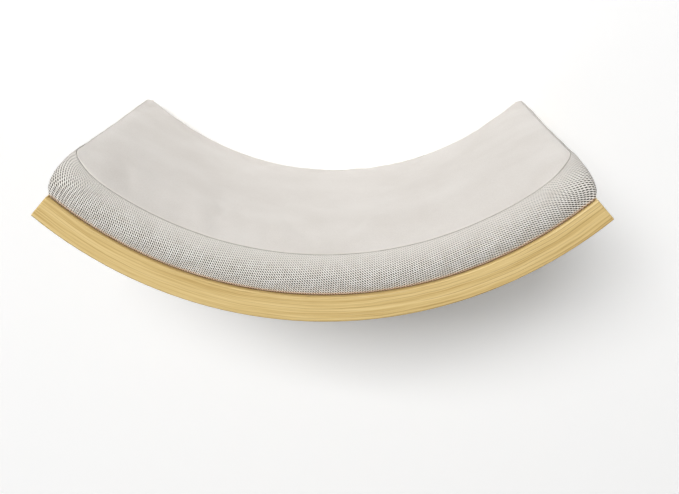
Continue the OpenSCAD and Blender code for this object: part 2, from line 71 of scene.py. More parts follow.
# working on objects

def deselectAll():
    bpy.ops.object.select_all(action="DESELECT")


def setMode(mode):
    bpy.ops.object.mode_set(mode=mode)


def pickOnly(piece):
    deselectAll()
    piece.select_set(True)
    bpy.context.view_layer.objects.active = piece


def applyModifiers(piece):
    pickOnly(piece)
    for name in [m.name for m in piece.modifiers]:
        bpy.ops.object.modifier_apply(modifier=name)


def readPoints(piece):
    points = np.empty(len(piece.data.vertices) * 3)
    piece.data.vertices.foreach_get("co", points)
    return points.reshape(-1, 3)


def writePoints(piece, points):
    piece.data.vertices.foreach_set("co", np.asarray(points, float).ravel())
    piece.data.update()


def bendRound(piece, radius):  # a straight piece along X, standing up Z, is laid round the arc
    x, y, z = readPoints(piece).T
    angle = x / radius
    writePoints(piece, np.c_[(radius - z) * np.sin(angle), y, arcZ - (radius - z) * np.cos(angle)])


def layCloth(piece, uv):  # a flat map of the cloth, in metres
    layer = piece.data.uv_layers.new(name="cloth")
    corner = np.empty(len(piece.data.loops), int)
    piece.data.loops.foreach_get("vertex_index", corner)
    layer.data.foreach_set("uv", np.asarray(uv, float)[corner].ravel())


def meshPiece(name, points, faces, uv=None):
    mesh = bpy.data.meshes.new(name)
    mesh.from_pydata([tuple(p) for p in points], [], [tuple(f) for f in faces])
    mesh.update()
    piece = bpy.data.objects.new(name, mesh)
    bpy.context.scene.collection.objects.link(piece)
    if uv is not None:
        layCloth(piece, uv)
    return piece


def smoothShade(piece, angle=40):
    pickOnly(piece)
    bpy.ops.object.shade_smooth_by_angle(angle=radians(angle))


def settle(name, scale=(1, 1, 1)):  # names the new primitive and puts its size and place into its mesh
    piece = bpy.context.object
    piece.name = name
    piece.scale = scale
    bpy.ops.object.transform_apply(location=True, rotation=True, scale=True)
    return piece


def repeat(piece, axis, pitch, count):
    row = piece.modifiers.new("row", "ARRAY")
    row.use_relative_offset, row.use_constant_offset = False, True
    row.constant_offset_displace = [pitch if k == axis else 0.0 for k in range(3)]
    row.count = count


def dress(piece, finish, body, slotName, *stoodFor):
    piece.data.materials.clear()
    piece.data.materials.append(finish)
    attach(piece, body)
    if stoodFor:
        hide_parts(*stoodFor)
    return piece


# building materials

def startFinish(name, **sockets):
    finish = bpy.data.materials.new(name)
    finish.use_nodes = True
    shader = finish.node_tree.nodes["Principled BSDF"]
    for key, value in sockets.items():
        shader.inputs[key.replace("_", " ")].default_value = value
    return finish, finish.node_tree, shader


def plug(tree, shader, **sockets):
    for key, value in sockets.items():
        tree.links.new(value, shader.inputs[key.replace("_", " ")])


def addNode(tree, kind, settings=None, **sockets):
    made = tree.nodes.new(kind)
    for key, value in (settings or {}).items():
        setattr(made, key, value)
    for key, value in sockets.items():
        socket = made.inputs[int(key[1:])] if key[1:].isdigit() else made.inputs[key.replace("_", " ")]
        if isinstance(value, bpy.types.NodeSocket):
            tree.links.new(value, socket)
        else:
            socket.default_value = value
    return made


def calc(tree, operation, *values):
    sockets = {f"i{k}": value for k, value in enumerate(values)}
    return addNode(tree, "ShaderNodeMath", {"operation": operation}, **sockets).outputs[0]


def pack(tree, x, y, z=0.0):
    return addNode(tree, "ShaderNodeCombineXYZ", X=x, Y=y, Z=z).outputs[0]


def noise(tree, vector, scale=1.0, detail=3.0, roughness=0.55):
    made = addNode(tree, "ShaderNodeTexNoise", Vector=vector, Scale=scale, Detail=detail, Roughness=roughness)
    return made.outputs["Fac"]


def mapped(tree, value, fromLow, fromHigh, toLow=0.0, toHigh=1.0):
    made = addNode(tree, "ShaderNodeMapRange", {"interpolation_type": "SMOOTHSTEP"}, Value=value)
    for key, number in zip(("From Min", "From Max", "To Min", "To Max"), (fromLow, fromHigh, toLow, toHigh)):
        made.inputs[key].default_value = number
    return made.outputs[0]


def wave(tree, kind, value, turn):
    return calc(tree, kind, calc(tree, "MULTIPLY", value, turn))


def mixColour(tree, factor, first, second):
    return addNode(tree, "ShaderNodeMix", {"data_type": "RGBA"}, i0=factor, i6=first, i7=second).outputs[2]


def ramp(tree, factor, *stops):
    made = addNode(tree, "ShaderNodeValToRGB", Fac=factor)
    stripes = made.color_ramp.elements
    while len(stripes) < len(stops):
        stripes.new(0.5)
    for stripe, (place, colour) in zip(stripes, stops):
        stripe.position = place
        stripe.color = colour
    return made.outputs["Color"]


def addBump(tree, shader, height, distance, strength):
    made = addNode(tree, "ShaderNodeBump", Strength=strength, Distance=distance, Height=height)
    plug(tree, shader, Normal=made.outputs[0])


def objectCoords(tree):
    return addNode(tree, "ShaderNodeTexCoord").outputs["Object"]


def rgb(*levels):  # a colour as it looks on screen, 0 to 255, to the shader's linear values
    shares = [level / 255 for level in levels]
    linear = [c / 12.92 if c <= 0.04045 else ((c + 0.055) / 1.055) ** 2.4 for c in shares]
    return (*linear, 1.0)


# camera at the photograph's viewing angle

camera = {
    "lens": 54.0,  # mm on a 36 mm sensor
    "azimuth": radians(1.54),
    "elevation": radians(16.66),
    "distance": 0.912,
    "target": (0.0171, lipLow.y, arcZ - 0.3179),
    "nearest": 0.01,
}


def placeCamera(v):
    level = cos(v["elevation"])
    back = Vector((sin(v["azimuth"]) * level, -cos(v["azimuth"]) * level, sin(v["elevation"])))
    place = Vector(v["target"]) + back * v["distance"]
    bpy.ops.object.camera_add(location=place, rotation=back.to_track_quat("Z", "Y").to_euler())
    made = bpy.context.object
    made.data.lens = v["lens"]
    made.data.clip_start = v["nearest"]
    bpy.context.scene.camera = made


placeCamera(camera)
print("camera placed")


# wall, floor, and light from the front and the upper left

wall = {
    "size": 6.0,
    "gap": 0.0006,  # behind the board's rear edge
    "colour": rgb(249, 249, 249),
    "lift": 0.18,  # glow that lights nothing: only the camera and reflections see it
}
floor = {"size": 12.0, "drop": 0.9, "colour": rgb(128, 128, 127), "lift": 0.6}
lamps = {
    "key": {"place": (-1.0, -5.1, 2.35), "aim": (0.05, -0.2, 0.1), "size": (2.4, 1.4), "watts": 244.0},
    "back": {"place": (0.6, 2.6, 1.4), "aim": (0.0, -0.2, 0.05), "size": (1.6, 1.2), "watts": 18.0},
    "sky": 0.17,
}


def stageFinish(name, w):
    finish, tree, shader = startFinish(name, Base_Color=w["colour"], Roughness=0.9, Specular_IOR_Level=0.1)
    path = addNode(tree, "ShaderNodeLightPath")
    seen = calc(tree, "MAXIMUM", path.outputs["Is Camera Ray"], path.outputs["Is Glossy Ray"])
    seen = calc(tree, "MAXIMUM", seen, path.outputs["Is Transmission Ray"])
    glow = addNode(tree, "ShaderNodeEmission", Strength=calc(tree, "MULTIPLY", seen, w["lift"]))
    lit = addNode(tree, "ShaderNodeAddShader", i0=shader.outputs[0], i1=glow.outputs[0])
    behind = addNode(tree, "ShaderNodeNewGeometry").outputs["Backfacing"]
    behind = calc(tree, "MAXIMUM", behind, path.outputs["Is Shadow Ray"])  # so the back lamp shines through
    clear = addNode(tree, "ShaderNodeBsdfTransparent")
    shown = addNode(tree, "ShaderNodeMixShader", i0=behind, i1=lit.outputs[0], i2=clear.outputs[0])
    tree.links.new(shown.outputs[0], tree.nodes["Material Output"].inputs["Surface"])
    return finish


def makeStage(name, w, place, turn):
    deselectAll()
    bpy.ops.mesh.primitive_plane_add(size=w["size"], location=place, rotation=turn)
    made = settle(name)
    made.data.materials.append(stageFinish(name + "Paint", w))


def makeLamp(name, lamp):
    away = Vector(lamp["place"]) - Vector(lamp["aim"])
    turn = away.to_track_quat("Z", "Y").to_euler()
    bpy.ops.object.light_add(type="AREA", location=lamp["place"], rotation=turn)
    made = bpy.context.object
    made.name = name
    made.data.shape = "RECTANGLE"
    made.data.size, made.data.size_y = lamp["size"]
    made.data.energy = lamp["watts"]


def makeSky(strength):
    world = bpy.data.worlds.new("sky")
    bpy.context.scene.world = world
    world.use_nodes = True
    tree = world.node_tree
    path = addNode(tree, "ShaderNodeLightPath")
    seen = calc(tree, "MAXIMUM", path.outputs["Is Camera Ray"], path.outputs["Is Transmission Ray"])
    tree.nodes["Background"].inputs["Color"].default_value = (1, 1, 1, 1)
    level = addNode(tree, "ShaderNodeMix", {"data_type": "FLOAT"}, i0=seen, i2=strength, i3=1.0)
    tree.links.new(level.outputs[0], tree.nodes["Background"].inputs["Strength"])


bpy.context.scene.view_settings.view_transform = "Standard"
wallY = cadHigh.y + wall["gap"]
makeStage("wall", wall, (0, wallY, 0), (pi / 2, 0, 0))
makeStage("floor", floor, (0, wallY - floor["size"] / 2, cadLow.z - floor["drop"]), (0, 0, 0))
makeLamp("keyLamp", lamps["key"])
makeLamp("backLamp", lamps["back"])
makeSky(lamps["sky"])
print("wall and lamps made")


# wood

wood = {
    "light": rgb(239, 212, 151),
    "middle": rgb(223, 194, 130),
    "dark": rgb(198, 164, 98),
    "stops": (0.36, 0.5, 0.66),  # tones of the dark, the middle and the light colour
    "fibre": (0.07, 0.0013),  # length and width of a fibre streak
    "figure": (0.42, 0.0055),  # and of a band of figure
    "fibreShare": 0.6,  # in the tone
    "figureShare": 0.4,
    "pale": 0.09,  # how much paler the wood gets along the arc, from left to right: painted light against the light's fall-off to the right, and evening out of the stronger growth lines there
    "wander": (5.0, 9.0),  # turns of the grain in a metre, along it and in depth
    "waver": 0.006,  # how far the grain wanders
    "rippleSpan": (0.024, 0.012),  # length and width of its short waves
    "ripple": 0.0013,  # and how far it wanders in them
    "line": rgb(158, 124, 66),
    "growthLine": 0.0031,  # spacing of the growth lines
    "lineSway": 0.0012,  # how far the figure moves them
    "lineWidth": 0.11,  # share of the spacing
    "patch": (0.12, 0.005),  # length and width of a stretch that has lines
    "patchCut": (0.36, 0.54),
    "lineGain": (-0.1, 0.22, 0.4, 0.85),  # two places along the arc, and the lines' strength there
    "faceCut": 0.42,  # how fast a veneer's face crosses the growth lines
    "rough": (0.56, 0.42),
    "relief": 0.0003,
}


def arcCoords(tree):  # distance along the arc, radius and depth of a point of the board
    place = addNode(tree, "ShaderNodeSeparateXYZ", Vector=objectCoords(tree))
    drop = calc(tree, "SUBTRACT", arcZ, place.outputs["Z"])
    angle = calc(tree, "ARCTAN2", place.outputs["X"], drop)
    spoke = pack(tree, place.outputs["X"], drop)
    reach = addNode(tree, "ShaderNodeVectorMath", {"operation": "LENGTH"}, i0=spoke)
    return calc(tree, "MULTIPLY", angle, boardOuterR), reach.outputs["Value"], place.outputs["Y"]


def stretched(tree, along, across, through, length, width):
    sockets = [calc(tree, "DIVIDE", v, s) for v, s in ((along, length), (across, width), (through, width))]
    return pack(tree, *sockets)


def woodFinish(name, w, grain="arc"):
    finish, tree, shader = startFinish(name, Specular_IOR_Level=0.35, Coat_Weight=0.06, Coat_Roughness=0.35)
    along, radius, depth = arcCoords(tree)
    if grain == "depth":
        along, depth = depth, along
    if grain == "face":  # a veneer is cut across the growth lines
        radius = calc(tree, "MULTIPLY_ADD", depth, w["faceCut"], radius)
    turns = [calc(tree, "MULTIPLY", s, k) for s, k in zip((along, depth), w["wander"])]
    across = calc(tree, "MULTIPLY_ADD", noise(tree, pack(tree, *turns), detail=2.0), w["waver"], radius)
    ripple = noise(tree, stretched(tree, along, radius, depth, *w["rippleSpan"]), detail=1.0)
    across = calc(tree, "MULTIPLY_ADD", ripple, w["ripple"], across)
    streaks = stretched(tree, along, across, depth, *w["fibre"])
    fibre = noise(tree, streaks, detail=4.0, roughness=0.65)
    figure = noise(tree, stretched(tree, along, across, depth, *w["figure"]), detail=2.0)
    tone = calc(tree, "MULTIPLY_ADD", figure, w["figureShare"], calc(tree, "MULTIPLY", fibre, w["fibreShare"]))
    # paler to the right: painted light against the light's fall-off, and evening out of the stronger lines
    # there
    tone = calc(tree, "MULTIPLY_ADD", along, w["pale"], tone)
    colour = ramp(tree, tone, *zip(w["stops"], (w["dark"], w["middle"], w["light"])))
    layer = calc(tree, "DIVIDE", calc(tree, "MULTIPLY_ADD", figure, w["lineSway"], across), w["growthLine"])
    thin = mapped(tree, calc(tree, "PINGPONG", layer, 0.5), 0.0, w["lineWidth"], 1.0, 0.0)
    patch = mapped(tree, noise(tree, stretched(tree, along, across, depth, *w["patch"])), *w["patchCut"])
    gain = mapped(tree, along, *w["lineGain"])
    lines = calc(tree, "MULTIPLY", calc(tree, "MULTIPLY", thin, patch), gain)
    colour = mixColour(tree, lines, colour, w["line"])
    plug(tree, shader, Base_Color=colour, Roughness=mapped(tree, fibre, 0.3, 0.7, *w["rough"]))
    addBump(tree, shader, calc(tree, "SUBTRACT", fibre, lines), w["relief"], 0.5)
    return finish


ply = {
    "layer": 0.0014,
    "light": rgb(236, 211, 160),
    "dark": rgb(202, 166, 114),
    "stops": (0.3, 0.68),
    "fleck": (0.004, 0.0006),  # length and width, in a layer that shows its end grain
    "streak": (0.06, 0.0006),  # and in one that shows its long grain
    "longTint": 0.25,  # how much darker that one is
    "glue": rgb(136, 100, 62),
    "glueLine": (0.02, 0.09),  # where it fades out, as a share of a layer
    "glueTint": 0.6,
    "relief": 0.0003,
}


def plyFinish(p):
    finish, tree, shader = startFinish("plyEdge", Roughness=0.7, Specular_IOR_Level=0.25)
    along, radius, depth = arcCoords(tree)
    layer = calc(tree, "DIVIDE", radius, p["layer"])
    turn = calc(tree, "PINGPONG", calc(tree, "FLOOR", layer), 1.0)
    share = calc(tree, "FRACT", layer)
    glue = mapped(tree, calc(tree, "PINGPONG", share, 0.5), *p["glueLine"], 1.0, 0.0)
    flecks = noise(tree, stretched(tree, along, radius, depth, *p["fleck"]), detail=4.0)
    streaks = noise(tree, stretched(tree, along, radius, depth, *p["streak"]), detail=4.0)
    tone = addNode(tree, "ShaderNodeMix", {"data_type": "FLOAT"}, i0=turn, i2=flecks, i3=streaks).outputs[0]
    colour = ramp(tree, tone, *zip(p["stops"], (p["dark"], p["light"])))
    colour = mixColour(tree, calc(tree, "MULTIPLY", turn, p["longTint"]), colour, p["dark"])
    colour = mixColour(tree, calc(tree, "MULTIPLY", glue, p["glueTint"]), colour, p["glue"])
    plug(tree, shader, Base_Color=colour)
    addBump(tree, shader, tone, p["relief"], 0.5)
    return finish


longGrain = woodFinish("woodLongGrain", wood)
faceGrain = woodFinish("woodVeneer", wood, "face")
bandGrain = woodFinish("woodEndBand", wood, "depth")
plyEdge = plyFinish(ply)


def finishNode(name, finish):
    nodes[name].data.materials.clear()
    nodes[name].data.materials.append(finish)


finishNode("front_lipping", longGrain)
for name in ("top_veneer", "underside_veneer"):
    finishNode(name, faceGrain)
for name in ("end_band_left", "end_band_right"):
    finishNode(name, bandGrain)
finishNode("board_core", plyEdge)
print("board finished")


# brackets and fasteners

paint = {
    "white": rgb(236, 236, 233),
    "worn": rgb(206, 205, 200),
    "wear": 22.0,  # scale of the worn patches
    "wearTint": 0.35,
    "peel": 1500.0,  # scale of the coat's fine relief
    "relief": 0.00012,
    "rough": (0.36, 0.5),
}
metal = {
    "screw": {"light": (0.72, 0.72, 0.73, 1), "dark": (0.5, 0.5, 0.52, 1), "rough": 0.3},
    "insert": {"light": (0.83, 0.63, 0.28, 1), "dark": (0.6, 0.43, 0.17, 1), "rough": 0.34},
    "zip": {"light": (0.66, 0.66, 0.67, 1), "dark": (0.48, 0.48, 0.49, 1), "rough": 0.28},
}
metalFace = {"cloud": 260.0, "grit": 3800.0, "relief": 0.00003, "smoother": 0.08, "rougher": 0.12}


def paintFinish(p):
    finish, tree, shader = startFinish("bracketPaint", Specular_IOR_Level=0.45)
    coords = objectCoords(tree)
    worn = mapped(tree, noise(tree, coords, p["wear"], 5.0, 0.6), 0.45, 0.8)
    colour = mixColour(tree, calc(tree, "MULTIPLY", worn, p["wearTint"]), p["white"], p["worn"])
    peel = noise(tree, coords, p["peel"], 2.0, 0.5)
    plug(tree, shader, Base_Color=colour, Roughness=mapped(tree, peel, 0.3, 0.7, *p["rough"]))
    addBump(tree, shader, peel, p["relief"], 0.6)
    return finish


def metalFinish(name, m, face):
    finish, tree, shader = startFinish(name, Metallic=1.0)
    coords = objectCoords(tree)
    cloud = noise(tree, coords, face["cloud"], 4.0, 0.6)
    colour = ramp(tree, cloud, (0.3, m["dark"]), (0.7, m["light"]))
    grit = noise(tree, coords, face["grit"], 2.0, 0.5)
    rough = mapped(tree, grit, 0.2, 0.8, m["rough"] - face["smoother"], m["rough"] + face["rougher"])
    plug(tree, shader, Base_Color=colour, Roughness=rough)
    addBump(tree, shader, grit, face["relief"], 0.5)
    return finish


bracketPaint = paintFinish(paint)
screwSteel = metalFinish("screwSteel", metal["screw"], metalFace)
insertBrass = metalFinish("insertBrass", metal["insert"], metalFace)
zipMetal = metalFinish("zipMetal", metal["zip"], metalFace)
for name, finish in (
    ("bracket_left", bracketPaint), ("bracket_right", bracketPaint),
    ("bracket_bolts", screwSteel), ("bracket_washers", screwSteel), ("bracket_inserts", insertBrass),
    ("zip_end_stops", zipMetal), ("zip_slider", zipMetal), ("zip_pull", zipMetal),
):
    finishNode(name, finish)
print("brackets and fasteners finished")


# cloth

weave = {
    "pitch": (0.00226, 0.00224),  # along the boxing and up it
    "skew": 0.1,  # how far the threads are off square
    "bow": 55.0,  # scale of the threads' long bends
    "kink": 420.0,  # and of their short ones
    "sway": ((0.4, 0.08), (-0.35, -0.08)),  # how far both move a thread, in pitches, along and up
    "slub": 0.12,  # how fast a thread changes along its length
    "thread": rgb(254, 251, 245),
    # darker thread tone, for the slubs and for the painted shade where a thread goes under
    "shade": rgb(238, 232, 223),
    "dip": 0.25,  # shade where a thread goes under
    # painted shade in the holes between the threads
    "hole": rgb(40, 30, 23),
    "slant": 2.6,  # how much the holes run together on one diagonal
    "gap": (0.1, 1.4),
    "closed": rgb(230, 225, 218),  # thread tone towards the seam, where the painted shade in the holes fades out
    "openBelow": 0.33,  # share of the boxing's height where the painted shade in the holes starts to fade towards the seam
    "closedAt": 1.17,
    # share of the painted hole shade left at the seam
    "leastHole": 0.09,
    "tuck": rgb(206, 158, 106),  # painted warm light bounced from the wood, low down on the boxing
    "tuckTint": 0.7,
    "tuckRun": 0.0042,
    # painted contact shadow: a dark line along the cloth's bottom edge, over the board
    "hem": rgb(66, 42, 20),
    "hemRun": 0.0014,
    # painted shade in the seam's groove
    "fold": rgb(104, 90, 74),
    "relief": 0.0006,
}
panel = {
    "light": rgb(236, 231, 225),
    "dark": rgb(226, 220, 213),
    "stops": (0.38, 0.62),
    "thread": 0.0007,
    "nap": 900.0,
    "cloud": 14.0,
    # painted shade in the seam's groove
    "fold": rgb(150, 143, 136),
    "relief": 0.00018,
}


def paintSeamShade(tree, colour, seamShadeColour):  # painted shade: darkens the cloth down in a seam's groove
    down = addNode(tree, "ShaderNodeAttribute", {"attribute_name": "fold"}).outputs["Fac"]
    return mixColour(tree, mapped(tree, down, 0.25, 1.0), colour, seamShadeColour)


def clothPlace(tree):  # the cloth's flat map, and its two directions
    flat = addNode(tree, "ShaderNodeUVMap", {"uv_map": "cloth"}).outputs["UV"]
    place = addNode(tree, "ShaderNodeSeparateXYZ", Vector=flat)
    return flat, place.outputs["X"], place.outputs["Y"]


def threadCount(tree, here, there, pitch, skew, bends, sway):  # threads up to a point of the cloth
    count = calc(tree, "DIVIDE", calc(tree, "MULTIPLY_ADD", there, -skew, here), pitch)
    for bend, by in zip(bends, sway):
        count = calc(tree, "MULTIPLY_ADD", bend, by, count)
    return count


def weaveFinish(name, w):
    finish, tree, shader = startFinish(name, Roughness=0.92, Specular_IOR_Level=0.15,
                                       Sheen_Weight=0.12, Sheen_Roughness=0.6)
    flat, u, v = clothPlace(tree)
    bends = noise(tree, flat, w["bow"], 2.0), noise(tree, flat, w["kink"], 1.0)
    across = threadCount(tree, u, v, w["pitch"][0], w["skew"], bends, w["sway"][0])
    up = threadCount(tree, v, u, w["pitch"][1], w["skew"], bends, w["sway"][1])
    warp, weft = wave(tree, "COSINE", across, tau), wave(tree, "COSINE", up, tau)
    slant = wave(tree, "COSINE", calc(tree, "ADD", across, up), tau)
    opened = calc(tree, "MULTIPLY_ADD", slant, w["slant"], calc(tree, "ADD", warp, weft))
    # the holes between the threads, which get the painted shade
    gap = mapped(tree, opened, *w["gap"])
    over = calc(tree, "MULTIPLY", wave(tree, "SINE", across, pi), wave(tree, "SINE", up, pi))
    weftRun = pack(tree, calc(tree, "MULTIPLY", across, w["slub"]), calc(tree, "FLOOR", up))
    warpRun = pack(tree, calc(tree, "FLOOR", across), calc(tree, "MULTIPLY", up, w["slub"]), 7.0)
    slubs = [calc(tree, "MULTIPLY", noise(tree, run, detail=1.0), 0.5) for run in (weftRun, warpRun)]
    thread = mixColour(tree, mapped(tree, calc(tree, "ADD", *slubs), 0.35, 0.65), w["shade"], w["thread"])
    # painted shade where a thread goes under another
    thread = mixColour(tree, mapped(tree, over, -1.0, 1.0, w["dip"], 0.0), thread, w["shade"])
    # towards the seam the painted shade in the holes fades and the threads take the seam tone
    rise = addNode(tree, "ShaderNodeAttribute", {"attribute_name": "rise"}).outputs["Fac"]
    thread = mixColour(tree, mapped(tree, rise, w["openBelow"], w["closedAt"]), thread, w["closed"])
    holeShadeShare = mapped(tree, rise, w["openBelow"], w["closedAt"], 1.0, w["leastHole"])
    colour = mixColour(tree, calc(tree, "MULTIPLY", gap, holeShadeShare), thread, w["hole"])
    # painted warm bounce light from the wood, fading up from the bottom edge
    colour = mixColour(tree, mapped(tree, v, 0.0, w["tuckRun"], w["tuckTint"], 0.0), colour, w["tuck"])
    # painted contact shadow along the bottom edge
    colour = mixColour(tree, mapped(tree, v, 0.0, w["hemRun"], 1.0, 0.0), colour, w["hem"])
    plug(tree, shader, Base_Color=paintSeamShade(tree, colour, w["fold"]))
    height = calc(tree, "MULTIPLY_ADD", over, 0.25, calc(tree, "MULTIPLY", gap, -1.0))
    addBump(tree, shader, height, w["relief"], 0.7)
    return finish


def panelFinish(name, p):
    finish, tree, shader = startFinish(name, Roughness=0.88, Specular_IOR_Level=0.18,
                                       Sheen_Weight=0.15, Sheen_Roughness=0.5)
    coords = objectCoords(tree)
    lines = [wave(tree, "SINE", s, tau / p["thread"]) for s in clothPlace(tree)[1:]]
    grain = calc(tree, "MULTIPLY", *lines)
    nap = noise(tree, coords, p["nap"], 3.0, 0.6)
    cloud = noise(tree, coords, p["cloud"], 3.0)
    tone = calc(tree, "MULTIPLY_ADD", nap, 0.5, calc(tree, "MULTIPLY", cloud, 0.5))
    tone = calc(tree, "MULTIPLY_ADD", grain, 0.05, tone)
    colour = ramp(tree, tone, *zip(p["stops"], (p["dark"], p["light"])))
    plug(tree, shader, Base_Color=paintSeamShade(tree, colour, p["fold"]))
    addBump(tree, shader, calc(tree, "MULTIPLY_ADD", grain, 0.3, nap), p["relief"], 0.6)
    return finish


boxingCloth = weaveFinish("boxingCloth", weave)
panelCloth = panelFinish("panelCloth", panel)


# cushion

baseLow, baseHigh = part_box("base_panel")
baseR = arcZ - baseLow.z
cushion = {
    "half": baseR * asin(baseHigh.x / baseR),  # along the arc, from the middle to an end of the base
    "front": -baseLow.y,
    "rear": -baseHigh.y,
    "cornerR": 0.002,  # at the base, in plan
    "topCornerR": 0.036,  # at the seam
    "rearCornerR": 0.014,  # at the seam, by the wall
    "cornerRise": 1.1,  # how late the corner opens up from one to the other
    "seamRise": 0.033,
    "crownRise": 0.008,
    "crownRun": 0.09,
    "crownRound": 2.5,
    "frontBulge": 0.004,
    "frontLean": 0.011,
    "endBulge": 0.0042,
    "endBulgeLow": 0.5,  # below 1 the end is fullest low down
    "endLean": 0.002,
    "endSplay": radians(2.1),
    "drawIn": 0.002,  # the front, between the corners
    "endDrawIn": 0.0004,
    "droop": 0.0027,  # the front's lower edge hangs below the base
    "droopRun": 0.03,
    "zipInset": 0.0613,
    "cloth": 0.0012,
    "rows": 10,  # up the boxing
    "corner": 4,  # segments of half a corner
    "zipSteps": 64,
    "pastZip": 5,
    "endSteps": 48,
    "rollIn": 0.0021,  # where the cloth starts to turn down into a seam
    "grooveDepth": 0.0013,
    "brow": (0.3, 0.25),  # shares of both at the row between
    "topFold": (0.4, 1.0),  # shade of the top's last two rows
    "boxingFold": (0.3, 0.62),  # and of the boxing's
    "lastRise": 0.95,  # height share of the row before them
    "mapCorner": 0.85,  # corner of the boxing's flat map, as a share of topCornerR
}
zipHalf = cushion["half"] - cushion["zipInset"]


def bent(c, s, d, h):
    past = np.maximum(0, (np.abs(s) - zipHalf) / (c["half"] - zipHalf))
    angle = s / baseR + np.sign(s) * c["endSplay"] * h / c["seamRise"] * past ** 2
    return np.stack([(baseR - h) * np.sin(angle), -d + 0 * s, arcZ - (baseR - h) * np.cos(angle)], -1)


def longEdge(c, half, edge, out, pull, r):  # front or rear edge, from halfway round one corner to the other
    side = half - r
    a = np.linspace(0, pi / 4, c["corner"] + 1)[1:]
    past = np.linspace(zipHalf, side, c["pastZip"] + 1)
    s = np.r_[-past[::-1], np.linspace(-zipHalf, zipHalf, c["zipSteps"] + 1)[1:-1], past]
    d = edge - out * pull * (1 - (s / side) ** 2)
    turn = edge - out * r * (1 - np.cos(a))
    return np.c_[np.r_[-side - r * np.sin(a[::-1]), s, side + r * np.sin(a)], np.r_[turn[::-1], d, turn]]


def endEdge(c, half, front, rear, r, rearR):  # right end, from the front corner to the rear one
    a = np.linspace(pi / 4, pi / 2, c["corner"] + 1)[:-1]
    d = np.linspace(front - r, rear + rearR, c["endSteps"] + 1)
    share = np.linspace(-1, 1, c["endSteps"] + 1)
    s = half - c["endDrawIn"] * (1 - share ** 2)
    s = np.r_[half - r * (1 - np.sin(a)), s, half - rearR * (1 - np.sin(a[::-1]))]
    d = np.r_[front - r * (1 - np.cos(a)), d, rear + rearR * (1 - np.cos(a[::-1]))]
    return np.c_[s, d]


def edgesAt(c, t):  # the four edges of the cushion at a share of the boxing's height
    half = c["half"] + c["endBulge"] * sin(pi * t ** c["endBulgeLow"]) - c["endLean"] * t ** 4
    front = c["front"] + c["frontBulge"] * sin(pi * t) - c["frontLean"] * t ** 3
    opened = t ** c["cornerRise"]
    r, rearR = (c["cornerR"] + (c[top] - c["cornerR"]) * opened for top in ("topCornerR", "rearCornerR"))
    near, far = longEdge(c, half, front, 1, c["drawIn"], r), longEdge(c, half, c["rear"], -1, 0, rearR)
    right = endEdge(c, half, front, c["rear"], r, rearR)
    return near, right, far, right * (-1, 1)


def ringOf(near, right, far, left):
    return np.r_[near, right[1:], far[::-1][1:], left[::-1][1:-1]]


def gridOf(near, right, far, left):  # a sheet of points between four edges
    u = np.linspace(0, 1, len(near))[:, None, None]
    v = np.linspace(0, 1, len(right))[None, :, None]
    ruled = (1 - v) * near[:, None] + v * far[:, None] + (1 - u) * left[None] + u * right[None]
    corners = (1 - u) * ((1 - v) * near[0] + v * far[0]) + u * ((1 - v) * near[-1] + v * far[-1])
    return ruled - corners


def gridRing(n, m):  # the places of a sheet's border, in the order of ringOf
    near, far = [(i, 0) for i in range(n)], [(i, m - 1) for i in range(n)]
    right, left = [(n - 1, j) for j in range(m)], [(0, j) for j in range(m)]
    order = near + right[1:] + far[::-1][1:] + left[::-1][1:-1]
    return np.array([i * m + j for i, j in order])


def insetOf(points, ring):  # distance of each point of a sheet from its border
    a, b = ring, np.roll(ring, -1, 0)
    along = b - a
    share = np.clip(((points[:, None] - a) * along).sum(-1) / (along ** 2).sum(-1), 0, 1)
    return np.linalg.norm(points[:, None] - a - share[..., None] * along, axis=-1).min(1)


def gridFaces(n, m):
    i, j = np.meshgrid(np.arange(n - 1), np.arange(m - 1), indexing="ij")
    a = (i * m + j).ravel()
    return np.c_[a, a + m, a + m + 1, a + 1]


def rowFaces(lower, upper, closed):  # quads between two rows of indices
    if closed:
        lower, upper = np.r_[lower, lower[:1]], np.r_[upper, upper[:1]]
    return np.c_[lower[:-1], lower[1:], upper[1:], upper[:-1]]


def droopAt(c, d):
    near = np.clip((d - c["front"]) / c["droopRun"] + 1, 0, 1)
    return c["droop"] * near ** 2 * (3 - 2 * near)


